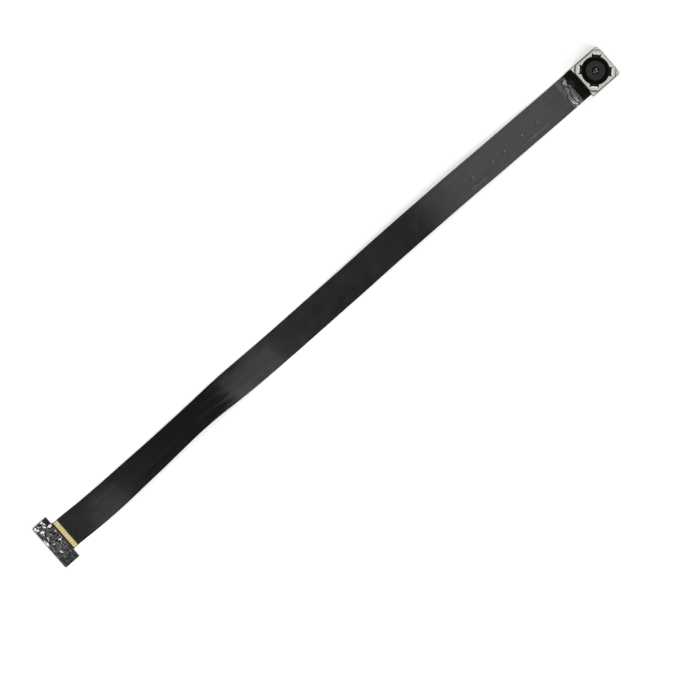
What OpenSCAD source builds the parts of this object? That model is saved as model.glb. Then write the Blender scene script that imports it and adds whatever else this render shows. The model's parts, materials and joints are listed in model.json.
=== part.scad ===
// Autofocus camera module on a flexible printed tail.
// The lens looks up along +Z. The origin is the middle of the head's back face,
// and +X runs from the head along the tail to the contact tongue.

/* [Head layers] */
// Side of the square shield can
can_side = 8.5; // [8.2:0.1:8.8]
// Width of the filter holder across the tail
holder_width = 8.8; // [8.6:0.05:9.2]
// Thickness of the steel back stiffener
stiffener_t = 0.2; // [0.1:0.05:0.4]
// Thickness of the rigid board above the flexible core
board_t = 0.25; // [0.15:0.05:0.4]
// Height of the filter holder above the board
holder_h = 1.15; // [1.05:0.05:1.4]
// Thickness of the lens drive's base plate
base_t = 0.25; // [0.2:0.05:0.4]
// Height of the base's lands above its plate
land_h = 0.2; // [0.15:0.05:0.3]
// Length of the rigid board beyond the can, towards the tail
neck_length = 2.25; // [2.2:0.05:2.6]

/* [Shield can] */
// Sheet thickness of the can
can_t = 0.15; // [0.1:0.01:0.2]
// Height of the can's side walls
can_h = 2.9; // [2.85:0.05:3.1]
// Depth of the stepped corners below the top
corner_step = 0.65; // [0.5:0.05:0.8]
// Distance of the chamfered corner walls from the axis, as a share of the can's side
corner_share = 0.586; // [0.577:0.003:0.6]
// Outside radius of the can's upper edge
can_edge_r = 0.25; // [0.18:0.01:0.3]
// Radius of the round opening, as a share of the can's side
opening_share = 0.412; // [0.406:0.0015:0.4165]
// Distance of the yoke tabs' faces from the axis, as a share of the can's side
tab_reach_share = 0.4353; // [0.433:0.001:0.44]
// Width of a yoke tab, as a share of the can's side
tab_w_share = 0.2; // [0.165:0.005:0.21]
// Width of the relief notch at each end of a tab, as a share of the can's side
notch_share = 0.0294; // [0.0184:0.001:0.0354]

/* [Lens drive] */
// Travel of the lens for focusing
focus_travel = 0.3; // [0.1:0.05:0.3]
// Thickness of the leaf springs
leaf_t = 0.04; // [0.03:0.01:0.05]
// Width of a leaf spring's arm
leaf_w = 0.08; // [0.05:0.01:0.1]
// Radial thickness of the coil's winding, as a share of the can's side
coil_share = 0.0282; // [0.0222:0.001:0.0302]
// Wall of the lens carrier's threaded hub, as a share of the can's side
hub_wall_share = 0.0353; // [0.0303:0.001:0.0363]
// Gap between moving pieces and fixed ones, as a share of the can's side
gap_share = 0.0141; // [0.0101:0.001:0.0151]

/* [Lens] */
// Outside radius of the lens thread, as a share of the can's side
thread_share = 0.3824; // [0.3764:0.001:0.3834]
// Clearance between the barrel and the carrier's bore
thread_gap = 0.02; // [0.01:0.01:0.04]
// Radius of the barrel's nose, as a share of the can's side
nose_share = 0.2765; // [0.26:0.0015:0.2915]
// Height of the nose above the can
nose_rise = 0.25; // [0.15:0.05:0.4]
// Radius of the front aperture, as a share of the can's side
aperture_share = 0.1; // [0.085:0.005:0.115]
// Clearance of a lens element in its seat
seat_gap = 0.02; // [0.01:0.01:0.03]

/* [Tail] */
// Width of the flexible tail
tail_w = 8; // [7:0.1:8.4]
// Thickness of the flexible core
core_t = 0.1; // [0.06:0.01:0.14]
// Thickness of each cover film
film_t = 0.05; // [0.03:0.01:0.08]
// Number of traces in the bare strip and of contacts
contact_count = 24; // [12:1:24]
// Pitch of the contacts on the tongue
contact_pitch = 0.5; // [0.4:0.05:0.5]
// Length of the contact fingers
contact_length = 3.4; // [2:0.1:4]
// Width of a contact finger
contact_w = 0.32; // [0.2:0.02:0.36]
// Length of the contact tongue
tongue_length = 4.4; // [4:0.1:5]
// Width of the contact tongue
tongue_w = 12.5; // [12:0.1:13]
// Length of the bare strip between the films and the tongue
window_length = 1.8; // [1:0.1:2]
// Thickness of the tongue's stiffener
tongue_t = 0.2; // [0.1:0.05:0.3]

/* [Hidden] */

$fn = 64;
// One overrun for every cut
over = 0.5;
// The four corners of the head, as turns of 90 degrees
corners = [0, 1, 2, 3];

// The heights of the head's layers, from the back face up
core_z = stiffener_t + film_t;
board_z = core_z + core_t;
deck_z = board_z + board_t;
drive_z = deck_z + holder_h;
base_top = drive_z + base_t;
land_top = base_top + land_h;
carrier_z = land_top + leaf_t;
can_top = base_top + can_h;
step_top = can_top - corner_step;
magnet_top = step_top - can_t;

// Plan of the head: half of the can, the holder and the chamfered corners
can_half = can_side / 2;
holder_half = holder_width / 2;
can_in = can_half - can_t;
corner_reach = corner_share * can_side;
corner_in = corner_reach - can_t;
opening_r = opening_share * can_side;
tab_reach = tab_reach_share * can_side;
tab_w = tab_w_share * can_side;
notch_w = notch_share * can_side;
fit_gap = 0.02;
corner_r = 0.0353 * can_side;

// The lens drive's octagons, as the distances of their sides and their corners
thread_r = thread_share * can_side;
hub_wall = hub_wall_share * can_side;
coil_w = coil_share * can_side;
drive_gap = gap_share * can_side;
hub_r = thread_r + hub_wall;
coil_corner = tab_reach + can_t + drive_gap;
coil_side = hub_r + 0.5 * drive_gap;
magnet_face = coil_corner + coil_w + drive_gap;
flange_z = carrier_z + 0.1;
flange_t = 0.12;
coil_z = flange_z + flange_t;
coil_h = magnet_top - coil_z - focus_travel;
coil_top = coil_z + coil_h;
tab_clear = 0.09;
tab_h = can_top - coil_z - focus_travel - tab_clear;
lip_t = 0.18;
bridge_w = 0.365 * can_side;
lip_w = 0.282 * can_side;
lip_reach = coil_side + 0.6 * coil_w;
pad_reach = tab_reach + can_t + 2 * drive_gap;
tab_root = 0.0047 * can_side;
// How far a tab runs on into the plate that it is bent from
tab_lap = tab_root;
magnet_end = 0.0294 * can_side;
magnet_tip = 0.106 * can_side;

// Leaf springs
ring_gap = 0.03;
ring_w = 0.026 * can_side;
rim_w = 0.012 * can_side;
pad_w = 0.247 * can_side;
arm_gap = 0.0094 * can_side;
arm_ear_y = -0.112 * can_side;
arm_turn_y = 0.212 * can_side;
arm_end_y = -0.282 * can_side;
spring_split = 0.014 * can_side;
split_turn = 28.5;

// Base, terminals and solder
base_hole_r = 0.347 * can_side;
stop_w = 0.059 * can_side;
land_rim = 0.0176 * can_side;
terminal_y = 0.341 * can_side;
terminal_w = 0.059 * can_side;
terminal_t = 0.1;
terminal_in = 0.0824 * can_side;
solder_h = 0.35;

// Filter holder, sensor and filter
holder_wall = 0.0706 * can_side;
cavity_h = 0.5;
window_side = 0.541 * can_side;
ledge_t = 0.2;
filter_side = 0.706 * can_side;
filter_t = 0.21;
sensor_x = 0.706 * can_side;
sensor_y = 0.665 * holder_width;
sensor_t = 0.2;
wire_count = 14;
wire_w = 0.04;
wire_pitch = 0.0424 * can_side;
wire_rise = 0.16;
wire_reach = 0.048 * holder_width;

// Parts beside the head, on the board's extension
capacitor_size = [0.5, 1, 0.52];
capacitor_end = 0.22;
capacitor_x_shares = [0.667, 0.667, 0.667, 0.333];
capacitor_y_shares = [-0.375, -0.144, 0.3, -0.2625];
chip_size = [1.05, 1.5, 0.4];
chip_x = can_half + 0.6 * neck_length;
chip_y_share = 0.1;

// Lens stack: outer radii of the elements' seats from front to back
nose_r = nose_share * can_side;
aperture_r = aperture_share * can_side;
seat_rs = [0.159 * can_side, 0.194 * can_side, 0.2353 * can_side, nose_r];
seat_ts = [0.62, 0.36, 0.62, 0.66];
baffle_t = 0.06;
baffle_w_shares = [0.42, 0.36, 0.24];
front_wall = 0.45;
rear_r = 0.3294 * can_side;
flange_drop = 0.45;
groove_w = 0.0294 * can_side;
groove_d = 0.1;
nose_edge = 0.12;
retainer_t = 0.2;
dish_d = 0.12;
glue_r = 0.0212 * can_side;
glue_out = 0.013 * can_side;

// Contact tongue
trace_margin = 0.22;
trace_pitch = (tail_w - 2 * trace_margin) / contact_count;
trace_w = 0.7 * trace_pitch;
trace_gap = 0.2 * trace_pitch;
trace_t = 0.02;
tongue_corner = 0.3;
root_r = 0.4;
tape_t = 0.06;
tape_crinkle = 0.06;
tape_margin = 0.06;

// Ripples along and across the potting and the tape
resin_waves = [2, 8];
tape_waves = [5, 9];

// Neck potting and bead
resin_h = 0.66;
resin_lump = 0.1;
resin_dip = 0.16;
resin_climb = 0.8;
resin_edge = 0.1;
bead_length = 2.9;
bead_h = 0.32;
bead_lump = 0.16;
bead_edge = 0.03;

// Where the tail starts, and how far its middle lies from the head's
neck_x = can_half + neck_length;
neck_y = -0.0375 * tail_w;

// The tail's route: distance along X, sideways place, height of its underside's middle
// line above the table, and roll about its length in degrees
route = [
    [9.5, -0.3, 0.2, 0], [14, -0.3, 0.32, 0], [20, -0.35, 0.75, 0], [27, -0.4, 1.25, 0],
    [34, -0.45, 1.7, 0], [41, -0.55, 2.05, 0], [48, -0.6, 2.2, 0], [55, -0.6, 2.1, 0],
    [62, -0.6, 1.75, 0], [69, -0.55, 1.3, 0], [76, -0.45, 0.85, 0], [83, -0.4, 0.45, 0],
    [90, -0.35, 0.18, 0], [97, -0.3, 0.06, 0], [104, -0.3, 0.1, 1], [111, -0.35, 0.5, 5],
    [117, -0.45, 1.05, 13], [123, -0.5, 1.9, 24], [129, -0.4, 2.25, 28], [135, -0.2, 2.1, 26],
    [141, 0, 1.75, 22], [148, 0.15, 1.25, 16], [155, 0.3, 0.68, 8], [162, 0.25, 0.17, 1.5],
    [169.2, 0, 0, 0]
];
rings_per_span = 5;
tail_end = route[len(route) - 1][0];
tongue_x = tail_end + window_length;

// A smooth value between b and c, at the share u of the way
function glide(a, b, c, d, u) =
    b + u * (c - a) / 2
    + u * u * (2 * a - 5 * b + 4 * c - d) / 2
    + u * u * u * (3 * b - 3 * c + d - a) / 2;

// The route's point at a place counted in spans
function route_at(s) =
    let (
        last = len(route) - 1,
        i = min(floor(s), last - 1),
        b = route[i],
        c = route[i + 1],
        a = i > 0 ? route[i - 1] : [2 * b[0] - c[0], b[1], b[2], b[3]],
        d = i + 2 <= last ? route[i + 2] : [2 * c[0] - b[0], c[1], c[2], c[3]]
    )
    glide(a, b, c, d, s - i);

// The direction of the route at a place counted in spans; both ends run straight along X
function route_way(s) =
    let (
        last = len(route) - 1,
        step = 0.01,
        p = route_at(max(s - step, 0)),
        q = route_at(min(s + step, last)),
        v = [q[0] - p[0], q[1] - p[1], q[2] - p[2]]
    )
    s <= 0 || s >= last ? [1, 0, 0] : v / norm(v);

// One ring of the tail: two lower and two upper corners, at the heights low and high
// above the tail's underside
function tail_ring(s, half, low, high) =
    let (
        p = route_at(s),
        way = route_way(s),
        flat = cross([0, 0, 1], way),
        side = flat / norm(flat),
        rise = cross(way, side),
        across = side * cos(p[3]) + rise * sin(p[3]),
        up = cross(way, across),
        c = [p[0], p[1], p[2]]
    )
    [
        c - across * half + up * low,
        c + across * half + up * low,
        c + across * half + up * high,
        c - across * half + up * high
    ];

// A ring of the flat stretch under the neck bead
function flat_ring(x, half, low, high) =
    [
        [x, neck_y - half, stiffener_t + low],
        [x, neck_y + half, stiffener_t + low],
        [x, neck_y + half, stiffener_t + high],
        [x, neck_y - half, stiffener_t + high]
    ];

// One layer of the tail, between the heights low and high above its underside
module tail_layer(low, high) {
    spans = len(route) - 1;
    steps = spans * rings_per_span;
    rings = concat(
        [flat_ring(neck_x, tail_w / 2, low, high)],
        [for (i = [0 : steps]) tail_ring(i / rings_per_span, tail_w / 2, low, high)]
    );
    last = len(rings) - 1;
    points = [for (ring = rings) for (p = ring) p];
    walls = [
        for (i = [0 : last - 1])
            let (a = 4 * i, b = 4 * i + 4)
            for (face = [
                [a, b, b + 1], [a, b + 1, a + 1],
                [a + 2, b + 2, a + 3], [b + 2, b + 3, a + 3],
                [a + 3, b + 3, b], [a + 3, b, a],
                [b + 2, a + 2, a + 1], [b + 2, a + 1, b + 1]
            ])
                face
    ];
    ends = [[2, 3, 0, 1], [4 * last + 3, 4 * last + 2, 4 * last + 1, 4 * last]];
    polyhedron(points = points, faces = concat(walls, ends), convexity = 6);
}

// A slab over a rectangle whose top is a height field: heights[i][j] at x_i and y_j
module height_field(x0, x1, y0, y1, z0, heights) {
    nx = len(heights) - 1;
    ny = len(heights[0]) - 1;
    row = ny + 1;
    count = (nx + 1) * row;
    top = [
        for (i = [0 : nx])
            for (j = [0 : ny])
                [x0 + (x1 - x0) * i / nx, y0 + (y1 - y0) * j / ny, z0 + heights[i][j]]
    ];
    // The border runs anticlockwise, seen from above
    border = concat(
        [for (i = [0 : nx - 1]) i * row],
        [for (j = [0 : ny - 1]) nx * row + j],
        [for (i = [nx : -1 : 1]) i * row + ny],
        [for (j = [ny : -1 : 1]) j]
    );
    feet = [for (k = border) [top[k][0], top[k][1], z0]];
    n = len(border);
    tops = [
        for (i = [0 : nx - 1])
            for (j = [0 : ny - 1])
                let (a = i * row + j, b = a + row)
                for (face = [[a, a + 1, b + 1], [a, b + 1, b]])
                    face
    ];
    sides = [
        for (k = [0 : n - 1])
            [border[k], border[(k + 1) % n], count + (k + 1) % n, count + k]
    ];
    // The floor: a fan at each end, over that end's points, and plain strips between them
    near_fan = [for (j = [0 : ny - 1]) [count + 1, count + (n - j - 1) % n, count + (n - j) % n]];
    far_fan = [for (j = [0 : ny - 1]) [count + nx - 1, count + nx + j, count + nx + j + 1]];
    strips = [
        for (i = [1 : nx - 2])
            [count + i, count + i + 1, count + nx + ny + nx - i - 1, count + nx + ny + nx - i]
    ];
    tips = [
        [count + 1, count + 2 * nx + ny - 1, count + 2 * nx + ny],
        [count + nx - 1, count + nx + ny, count + nx + ny + 1]
    ];
    polyhedron(
        points = concat(top, feet),
        faces = concat(tops, sides, near_fan, far_fan, strips, tips),
        convexity = 6
    );
}

// A rectangle with rounded corners, centred on the origin
module round_rect(width, depth, r) {
    square([width - 2 * r, depth], center = true);
    square([width, depth - 2 * r], center = true);
    for (i = [-1, 1])
        for (j = [-1, 1])
            translate([i * (width / 2 - r), j * (depth / 2 - r)])
                circle(r);
}

// An octagon by the distances of its sides and of its corner faces from the middle
module octagon(side, corner) {
    cut = corner * sqrt(2) - side;
    polygon([
        [side, -cut], [side, cut], [cut, side], [-cut, side],
        [-side, cut], [-side, -cut], [-cut, -side], [cut, -side]
    ]);
}

// A flat bar between two points of a plan, with round ends
module strip(a, b, width) {
    v = b - a;
    translate(a)
        rotate(atan2(v[1], v[0]))
            translate([0, -width / 2])
                square([norm(v), width]);
    translate(a)
        circle(width / 2);
    translate(b)
        circle(width / 2);
}

// Plan of the rigid board and of the core under it: the head's square and the neck
module board_plan() {
    flare = 0.55 * neck_length;
    round_rect(can_side, holder_width, corner_r);
    polygon([
        [0, -holder_half], [can_half + flare, -holder_half],
        [can_half + flare + (holder_half + neck_y - tail_w / 2), neck_y - tail_w / 2],
        [neck_x, neck_y - tail_w / 2], [neck_x, neck_y + tail_w / 2],
        [can_half, neck_y + tail_w / 2], [0, neck_y + tail_w / 2]
    ]);
}

// Plan of the bare strip and the tongue, with a fillet in each inner corner
module tongue_plan() {
    half = tail_w / 2;
    translate([tail_end, -half])
        square([window_length + root_r, tail_w]);
    tongue_outline(0);
    for (m = [0, 1])
        mirror([0, m])
            difference() {
                translate([tongue_x - root_r, half])
                    square(root_r);
                translate([tongue_x - root_r, half + root_r])
                    circle(root_r);
            }
}

// The tongue's own outline with its two cut outer corners, drawn in by a margin
module tongue_outline(margin) {
    far = tongue_x + tongue_length - margin;
    near = tongue_x + margin;
    half = tongue_w / 2 - margin;
    polygon([
        [near, -half], [far - tongue_corner, -half], [far, -half + tongue_corner],
        [far, half - tongue_corner], [far - tongue_corner, half], [near, half]
    ]);
}

// Steel plate under the whole rigid board
module back_stiffener() {
    color([0.72, 0.72, 0.7])
        linear_extrude(stiffener_t)
            board_plan();
}

// The flexible circuit: one piece under the head, along the tail and out to the tongue
module flex_core() {
    color([0.62, 0.42, 0.14]) {
        tail_layer(film_t, film_t + core_t);
        translate([0, 0, core_z])
            linear_extrude(core_t)
                board_plan();
        translate([0, 0, film_t])
            linear_extrude(core_t)
                tongue_plan();
    }
}

// Black cover film on the underside, from the head to the contacts
module bottom_film() {
    color([0.07, 0.07, 0.07]) {
        tail_layer(0, film_t);
        translate([0, 0, stiffener_t])
            linear_extrude(film_t)
                board_plan();
        translate([tail_end, -tail_w / 2, 0])
            cube([window_length, tail_w, film_t]);
    }
}

// Black cover film on top of the tail, which ends at the bare strip
module top_film() {
    color([0.1, 0.1, 0.1])
        tail_layer(film_t + core_t, 2 * film_t + core_t);
}

// Rigid board that stiffens the core under the head and beside it
module head_board() {
    color([0.12, 0.11, 0.08])
        translate([0, 0, board_z])
            linear_extrude(board_t)
                board_plan();
}

// Bare sensor die on the board
module image_sensor() {
    color([0.25, 0.3, 0.42])
        translate([-sensor_x / 2, -sensor_y / 2, deck_z])
            cube([sensor_x, sensor_y, sensor_t]);
}

// Bond wires from the die to the board, as flat loops on both sides
module bond_wires() {
    // Each loop rises from the die's top and comes down on the board outside it
    top = sensor_t + wire_rise;
    inner = -0.15;
    color([0.9, 0.7, 0.25])
        for (m = [0, 1])
            mirror([0, m, 0])
                for (i = [0 : wire_count - 1])
                    translate([(i - (wire_count - 1) / 2) * wire_pitch - wire_w / 2, sensor_y / 2, deck_z])
                        rotate([90, 0, 90])
                            linear_extrude(wire_w)
                                polygon([
                                    [inner, sensor_t], [inner + wire_w, sensor_t],
                                    [inner + wire_w, top - wire_w], [2 * wire_w, top - wire_w],
                                    [wire_reach - wire_w, 0], [wire_reach, 0],
                                    [3 * wire_w, top], [inner, top]
                                ]);
}

// Places of the parts beside the head
function capacitor_at(i) =
    [can_half + capacitor_x_shares[i] * neck_length, neck_y + capacitor_y_shares[i] * tail_w, deck_z];

function chip_at() =
    [chip_x - chip_size[0] / 2, neck_y + chip_y_share * tail_w - chip_size[1] / 2, deck_z];

// One ceramic chip capacitor: body and two thicker plated ends
module capacitor(i) {
    size = capacitor_size;
    body_in = 0.02;
    color([0.55, 0.42, 0.3])
        translate(capacitor_at(i)) {
            translate([-size[0] / 2 + body_in, -size[1] / 2 + capacitor_end, body_in])
                cube([size[0] - 2 * body_in, size[1] - 2 * capacitor_end, size[2] - 2 * body_in]);
            for (m = [0, 1])
                mirror([0, m, 0])
                    translate([-size[0] / 2, size[1] / 2 - capacitor_end, 0])
                        cube([size[0], capacitor_end, size[2]]);
        }
}

// Focus driver in its small black package
module driver_chip() {
    color([0.15, 0.15, 0.16])
        translate(chip_at())
            cube(chip_size);
}

// Black housing over the sensor, which carries the filter and the lens drive
module filter_holder() {
    recess = filter_side + 2 * fit_gap;
    color([0.06, 0.06, 0.06])
        translate([0, 0, deck_z])
            difference() {
                linear_extrude(holder_h)
                    round_rect(can_side, holder_width, corner_r);
                translate([0, 0, -over])
                    linear_extrude(cavity_h + over)
                        round_rect(can_side - 2 * holder_wall, holder_width - 2 * holder_wall, corner_r);
                translate([0, 0, cavity_h + ledge_t])
                    linear_extrude(holder_h)
                        round_rect(recess, recess, corner_r);
                linear_extrude(holder_h)
                    round_rect(window_side, window_side, corner_r);
            }
}

// Infrared filter on the holder's ledge
module ir_filter() {
    color([0.45, 0.75, 0.8, 0.5])
        translate([0, 0, deck_z + cavity_h + ledge_t])
            linear_extrude(filter_t)
                round_rect(filter_side, filter_side, corner_r);
}

// Side view of a terminal: up to the spring, out through the base, down to the board
module terminal_profile() {
    mid = drive_z + base_t / 2;
    out = can_half + terminal_t;
    inner = can_half - terminal_in;
    polygon([
        [inner, land_top], [inner, mid - terminal_t / 2], [can_half, mid - terminal_t / 2],
        [can_half, deck_z], [out, deck_z], [out, mid], [out - terminal_t / 2, mid + terminal_t / 2],
        [inner + terminal_t, mid + terminal_t / 2], [inner + terminal_t, land_top]
    ]);
}

module terminal(side) {
    color([0.85, 0.72, 0.4])
        translate([0, side * terminal_y + terminal_w / 2, 0])
            rotate([90, 0, 0])
                linear_extrude(terminal_w)
                    terminal_profile();
}

// Solder at the foot of a terminal, with a hollow outer face
module solder_joint(side) {
    foot = can_half + terminal_t;
    color([0.75, 0.75, 0.76])
        translate([0, side * terminal_y + terminal_w / 2, 0])
            rotate([90, 0, 0])
                linear_extrude(terminal_w)
                    difference() {
                        translate([foot, deck_z])
                            square(solder_h);
                        translate([foot + solder_h, deck_z + solder_h])
                            circle(solder_h);
                    }
}

// Plan of the base's lands: a rim along the sides and a land under each spring pad
module base_lands() {
    wall = can_in - fit_gap;
    difference() {
        square(2 * wall, center = true);
        square(2 * (wall - land_rim), center = true);
    }
    intersection() {
        square(2 * wall, center = true);
        for (k = corners)
            rotate(90 * k + 45)
                translate([pad_reach, -pad_w / 2])
                    square([can_half, pad_w]);
    }
}

// Base of the lens drive: plate, four corner lands and the stop ring round the hole
module vcm_base() {
    color([0.09, 0.09, 0.09])
        difference() {
            union() {
                translate([0, 0, drive_z])
                    linear_extrude(base_t)
                        round_rect(can_side, can_side, corner_r);
                translate([0, 0, base_top])
                    linear_extrude(land_h)
                        base_lands();
                translate([0, 0, base_top])
                    cylinder(r = base_hole_r + stop_w, h = land_h);
            }
            translate([0, 0, drive_z - over])
                cylinder(r = base_hole_r, h = base_t + land_h + 2 * over);
            for (side = [-1, 1])
                translate([0, side * terminal_y + terminal_w / 2, 0])
                    rotate([90, 0, 0])
                        linear_extrude(terminal_w)
                            terminal_profile();
        }
}

// One arm of a leaf spring on the +X side: from the ring's ear along the side, and back
// through a hairpin to the corner pad
module leaf_arm(ring_r) {
    near = ring_r + leaf_w / 2 + arm_gap;
    far = near + leaf_w + arm_gap;
    strip([ring_r - ring_w, arm_ear_y], [near, arm_ear_y], 2 * leaf_w);
    strip([near, arm_ear_y], [near, arm_turn_y], leaf_w);
    strip([near, arm_turn_y], [far, arm_turn_y], leaf_w);
    strip([far, arm_turn_y], [far, arm_end_y], leaf_w);
}

// Plan of a leaf spring: inner ring, four hairpin arms, corner pads and a thin rim
module leaf_plan(ring_r, side, corner) {
    difference() {
        circle(ring_r);
        circle(ring_r - ring_w);
    }
    for (k = corners)
        rotate(90 * k)
            leaf_arm(ring_r);
    difference() {
        octagon(side, corner);
        octagon(side - rim_w, corner - rim_w);
    }
    intersection() {
        octagon(side, corner);
        for (k = corners)
            rotate(90 * k + 45)
                translate([pad_reach, -pad_w / 2])
                    square([corner - pad_reach + over, pad_w]);
    }
}

// Upper leaf spring on the carrier's hub and the magnets
module upper_spring() {
    color([0.8, 0.68, 0.42])
        translate([0, 0, magnet_top])
            linear_extrude(leaf_t)
                leaf_plan(
                    hub_r - ring_gap,
                    can_in - fit_gap,
                    corner_in - fit_gap
                );
}

// Half of the lower leaf spring, which is split so that it can carry the coil's current
module lower_spring(side) {
    color([0.8, 0.68, 0.42])
        translate([0, 0, land_top])
            linear_extrude(leaf_t)
                intersection() {
                    leaf_plan(
                        hub_r + ring_gap,
                        can_in - 2 * fit_gap,
                        corner_in + can_t
                    );
                    rotate(split_turn + 90 * (1 - side))
                        translate([-can_side, spring_split / 2])
                            square([2 * can_side, can_side]);
                }
}

// Lens carrier: threaded hub, lower flange and four bridges that hold the coil
module lens_carrier() {
    color([0.13, 0.13, 0.14])
        difference() {
            union() {
                translate([0, 0, carrier_z])
                    cylinder(r = hub_r, h = magnet_top - carrier_z);
                translate([0, 0, flange_z])
                    linear_extrude(flange_t)
                        octagon(coil_side + coil_w - fit_gap, coil_corner + coil_w - fit_gap);
                for (k = corners)
                    rotate(90 * k) {
                        translate([0, -bridge_w / 2, flange_z])
                            cube([coil_side, bridge_w, coil_top - flange_z]);
                        translate([0, -lip_w / 2, coil_top])
                            cube([lip_reach, lip_w, lip_t]);
                    }
            }
            translate([0, 0, carrier_z - over])
                cylinder(r = thread_r, h = magnet_top - carrier_z + 2 * over);
        }
}

// Octagonal winding round the carrier
module coil() {
    color([0.72, 0.4, 0.22])
        translate([0, 0, coil_z])
            linear_extrude(coil_h)
                difference() {
                    octagon(coil_side + coil_w, coil_corner + coil_w);
                    octagon(coil_side, coil_corner);
                }
}

// One corner magnet, with its ends cut square to the can's walls
module magnet(k) {
    wall = can_in - fit_gap;
    face = magnet_face * sqrt(2);
    end = face - wall + magnet_end;
    color([0.62, 0.62, 0.65])
        translate([0, 0, carrier_z])
            linear_extrude(magnet_top - carrier_z)
                rotate(90 * k)
                    polygon([
                        [face - end, end], [wall, end], [wall, wall - magnet_tip],
                        [wall - magnet_tip, wall], [end, wall], [end, face - end]
                    ]);
}

// Frame between the upper spring and the top of the can, clear of the yoke tabs
module spring_spacer() {
    frame_side = can_in - fit_gap;
    frame_corner = corner_in - fit_gap;
    color([0.1, 0.1, 0.1])
        translate([0, 0, magnet_top + leaf_t])
            linear_extrude(can_top - can_t - magnet_top - leaf_t)
                difference() {
                    octagon(frame_side, frame_corner);
                    octagon(frame_side - 1.5 * rim_w, tab_reach + can_t + 3 * drive_gap);
                }
}

// A long bar with its two upper edges rounded, seen along Y, for a rounded box top
module edge_profile(half, z0, z1, r) {
    translate([-half, z0])
        square([2 * half, z1 - z0 - r]);
    translate([-half + r, z0])
        square([2 * (half - r), z1 - z0]);
    for (i = [-1, 1])
        translate([i * (half - r), z1 - r])
            circle(r);
}

module edge_bar(half, z0, z1, r, turn) {
    rotate(turn)
        rotate([90, 0, 0])
            translate([0, 0, -can_side])
                linear_extrude(2 * can_side)
                    edge_profile(half, z0, z1, r);
}

// The can's solid outline: a square lower part and an octagonal upper part
module can_block(side, corner, z0, z_step, z1, r, plan_r) {
    intersection() {
        edge_bar(side, z0, z1, r, 0);
        edge_bar(side, z0, z1, r, 90);
        edge_bar(corner, z0, z1, r, 45);
        edge_bar(corner, z0, z1, r, 135);
    }
    translate([0, 0, z0])
        linear_extrude(z_step - z0)
            round_rect(2 * side, 2 * side, plan_r);
}

// Side view of a yoke tab: a quarter bend out of the top sheet and the hanging leaf
module tab_profile() {
    inner_r = can_edge_r - can_t;
    bend_x = tab_reach + can_edge_r;
    difference() {
        intersection() {
            translate([bend_x, can_top - can_edge_r])
                circle(can_edge_r);
            translate([tab_reach, can_top - can_edge_r])
                square(can_edge_r);
        }
        translate([bend_x, can_top - can_edge_r])
            circle(inner_r);
    }
    translate([tab_reach, can_top - tab_h])
        square([can_t, tab_h - can_edge_r]);
    translate([bend_x, can_top - can_t])
        square([tab_root + tab_lap, can_t]);
}

// Stamped can: stepped corners, round opening, relief notches and four bent yoke tabs
module shield_can() {
    bend_x = tab_reach + can_edge_r;
    notch_x = bend_x + tab_root + notch_w / 2;
    color([0.82, 0.81, 0.76]) {
        difference() {
            can_block(can_half, corner_reach, base_top, step_top, can_top, can_edge_r, corner_r);
            translate([0, 0, base_top - over])
                linear_extrude(magnet_top - base_top + over)
                    round_rect(2 * can_in, 2 * can_in, corner_r - can_t);
            translate([0, 0, magnet_top - over])
                linear_extrude(can_top - can_t - magnet_top + over)
                    octagon(can_in, corner_in);
            translate([0, 0, can_top - can_t - over])
                cylinder(r = opening_r, h = can_t + 2 * over);
            for (k = corners)
                rotate([0, 0, 90 * k + 45]) {
                    translate([0, -tab_w / 2, can_top - 2 * can_t])
                        cube([bend_x + tab_root, tab_w, 2 * can_t + over]);
                    for (m = [-1, 1])
                        translate([0, m * (tab_w + notch_w) / 2, can_top - 2 * can_t]) {
                            translate([0, -notch_w / 2, 0])
                                cube([notch_x - notch_w / 2, notch_w, 2 * can_t + over]);
                            translate([notch_x - notch_w / 2, 0, 0])
                                cylinder(r = notch_w / 2, h = 2 * can_t + over);
                        }
                }
        }
        for (k = corners)
            rotate([0, 0, 90 * k + 45])
                translate([0, tab_w / 2, 0])
                    rotate([90, 0, 0])
                        linear_extrude(tab_w)
                            tab_profile();
    }
}

// Heights of the lens stack, from the front element down
nose_top = can_top + nose_rise;
stop_z = nose_top - front_wall;
function seat_top(i) =
    i == 0 ? stop_z : seat_top(i - 1) - seat_ts[i - 1] - baffle_t;

// Threaded lens barrel with a stepped bore, a groove round its nose and a dished face
module lens_barrel() {
    body_r = thread_r - thread_gap;
    flange_top = can_top - flange_drop;
    barrel_z = drive_z + 0.2 * base_t;
    body_z = carrier_z + 0.2 * base_t;
    cone_r = aperture_r * 1.1;
    color([0.08, 0.08, 0.09])
        rotate_extrude()
            difference() {
                polygon([
                    [0, barrel_z], [rear_r, barrel_z], [rear_r, body_z], [body_r, body_z],
                    [body_r, flange_top - groove_d / 2], [body_r - groove_d / 2, flange_top],
                    [nose_r + groove_w, flange_top], [nose_r + groove_w, flange_top - groove_d],
                    [nose_r, flange_top - groove_d], [nose_r, nose_top - nose_edge],
                    [nose_r - nose_edge, nose_top], [nose_r - 2 * nose_edge, nose_top],
                    [cone_r, nose_top - dish_d], [aperture_r, nose_top - 2 * dish_d], [0, nose_top - 2 * dish_d]
                ]);
                translate([0, stop_z])
                    square([aperture_r * 0.94, front_wall]);
                for (i = [0 : 3])
                    translate([0, seat_top(i) - seat_ts[i] - baffle_t])
                        square([seat_rs[i] + seat_gap, seat_ts[i] + baffle_t + (i == 0 ? 0 : fit_gap)]);
                translate([0, barrel_z - over])
                    square([seat_rs[3] + seat_gap, seat_top(3) - seat_ts[3] - barrel_z + over]);
            }
}

// The sag of a lens surface at radius r, for a bulge over the semi-diameter a
function sag(r, a, bulge) = bulge * pow(min(r / a, 1), 2);

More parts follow.
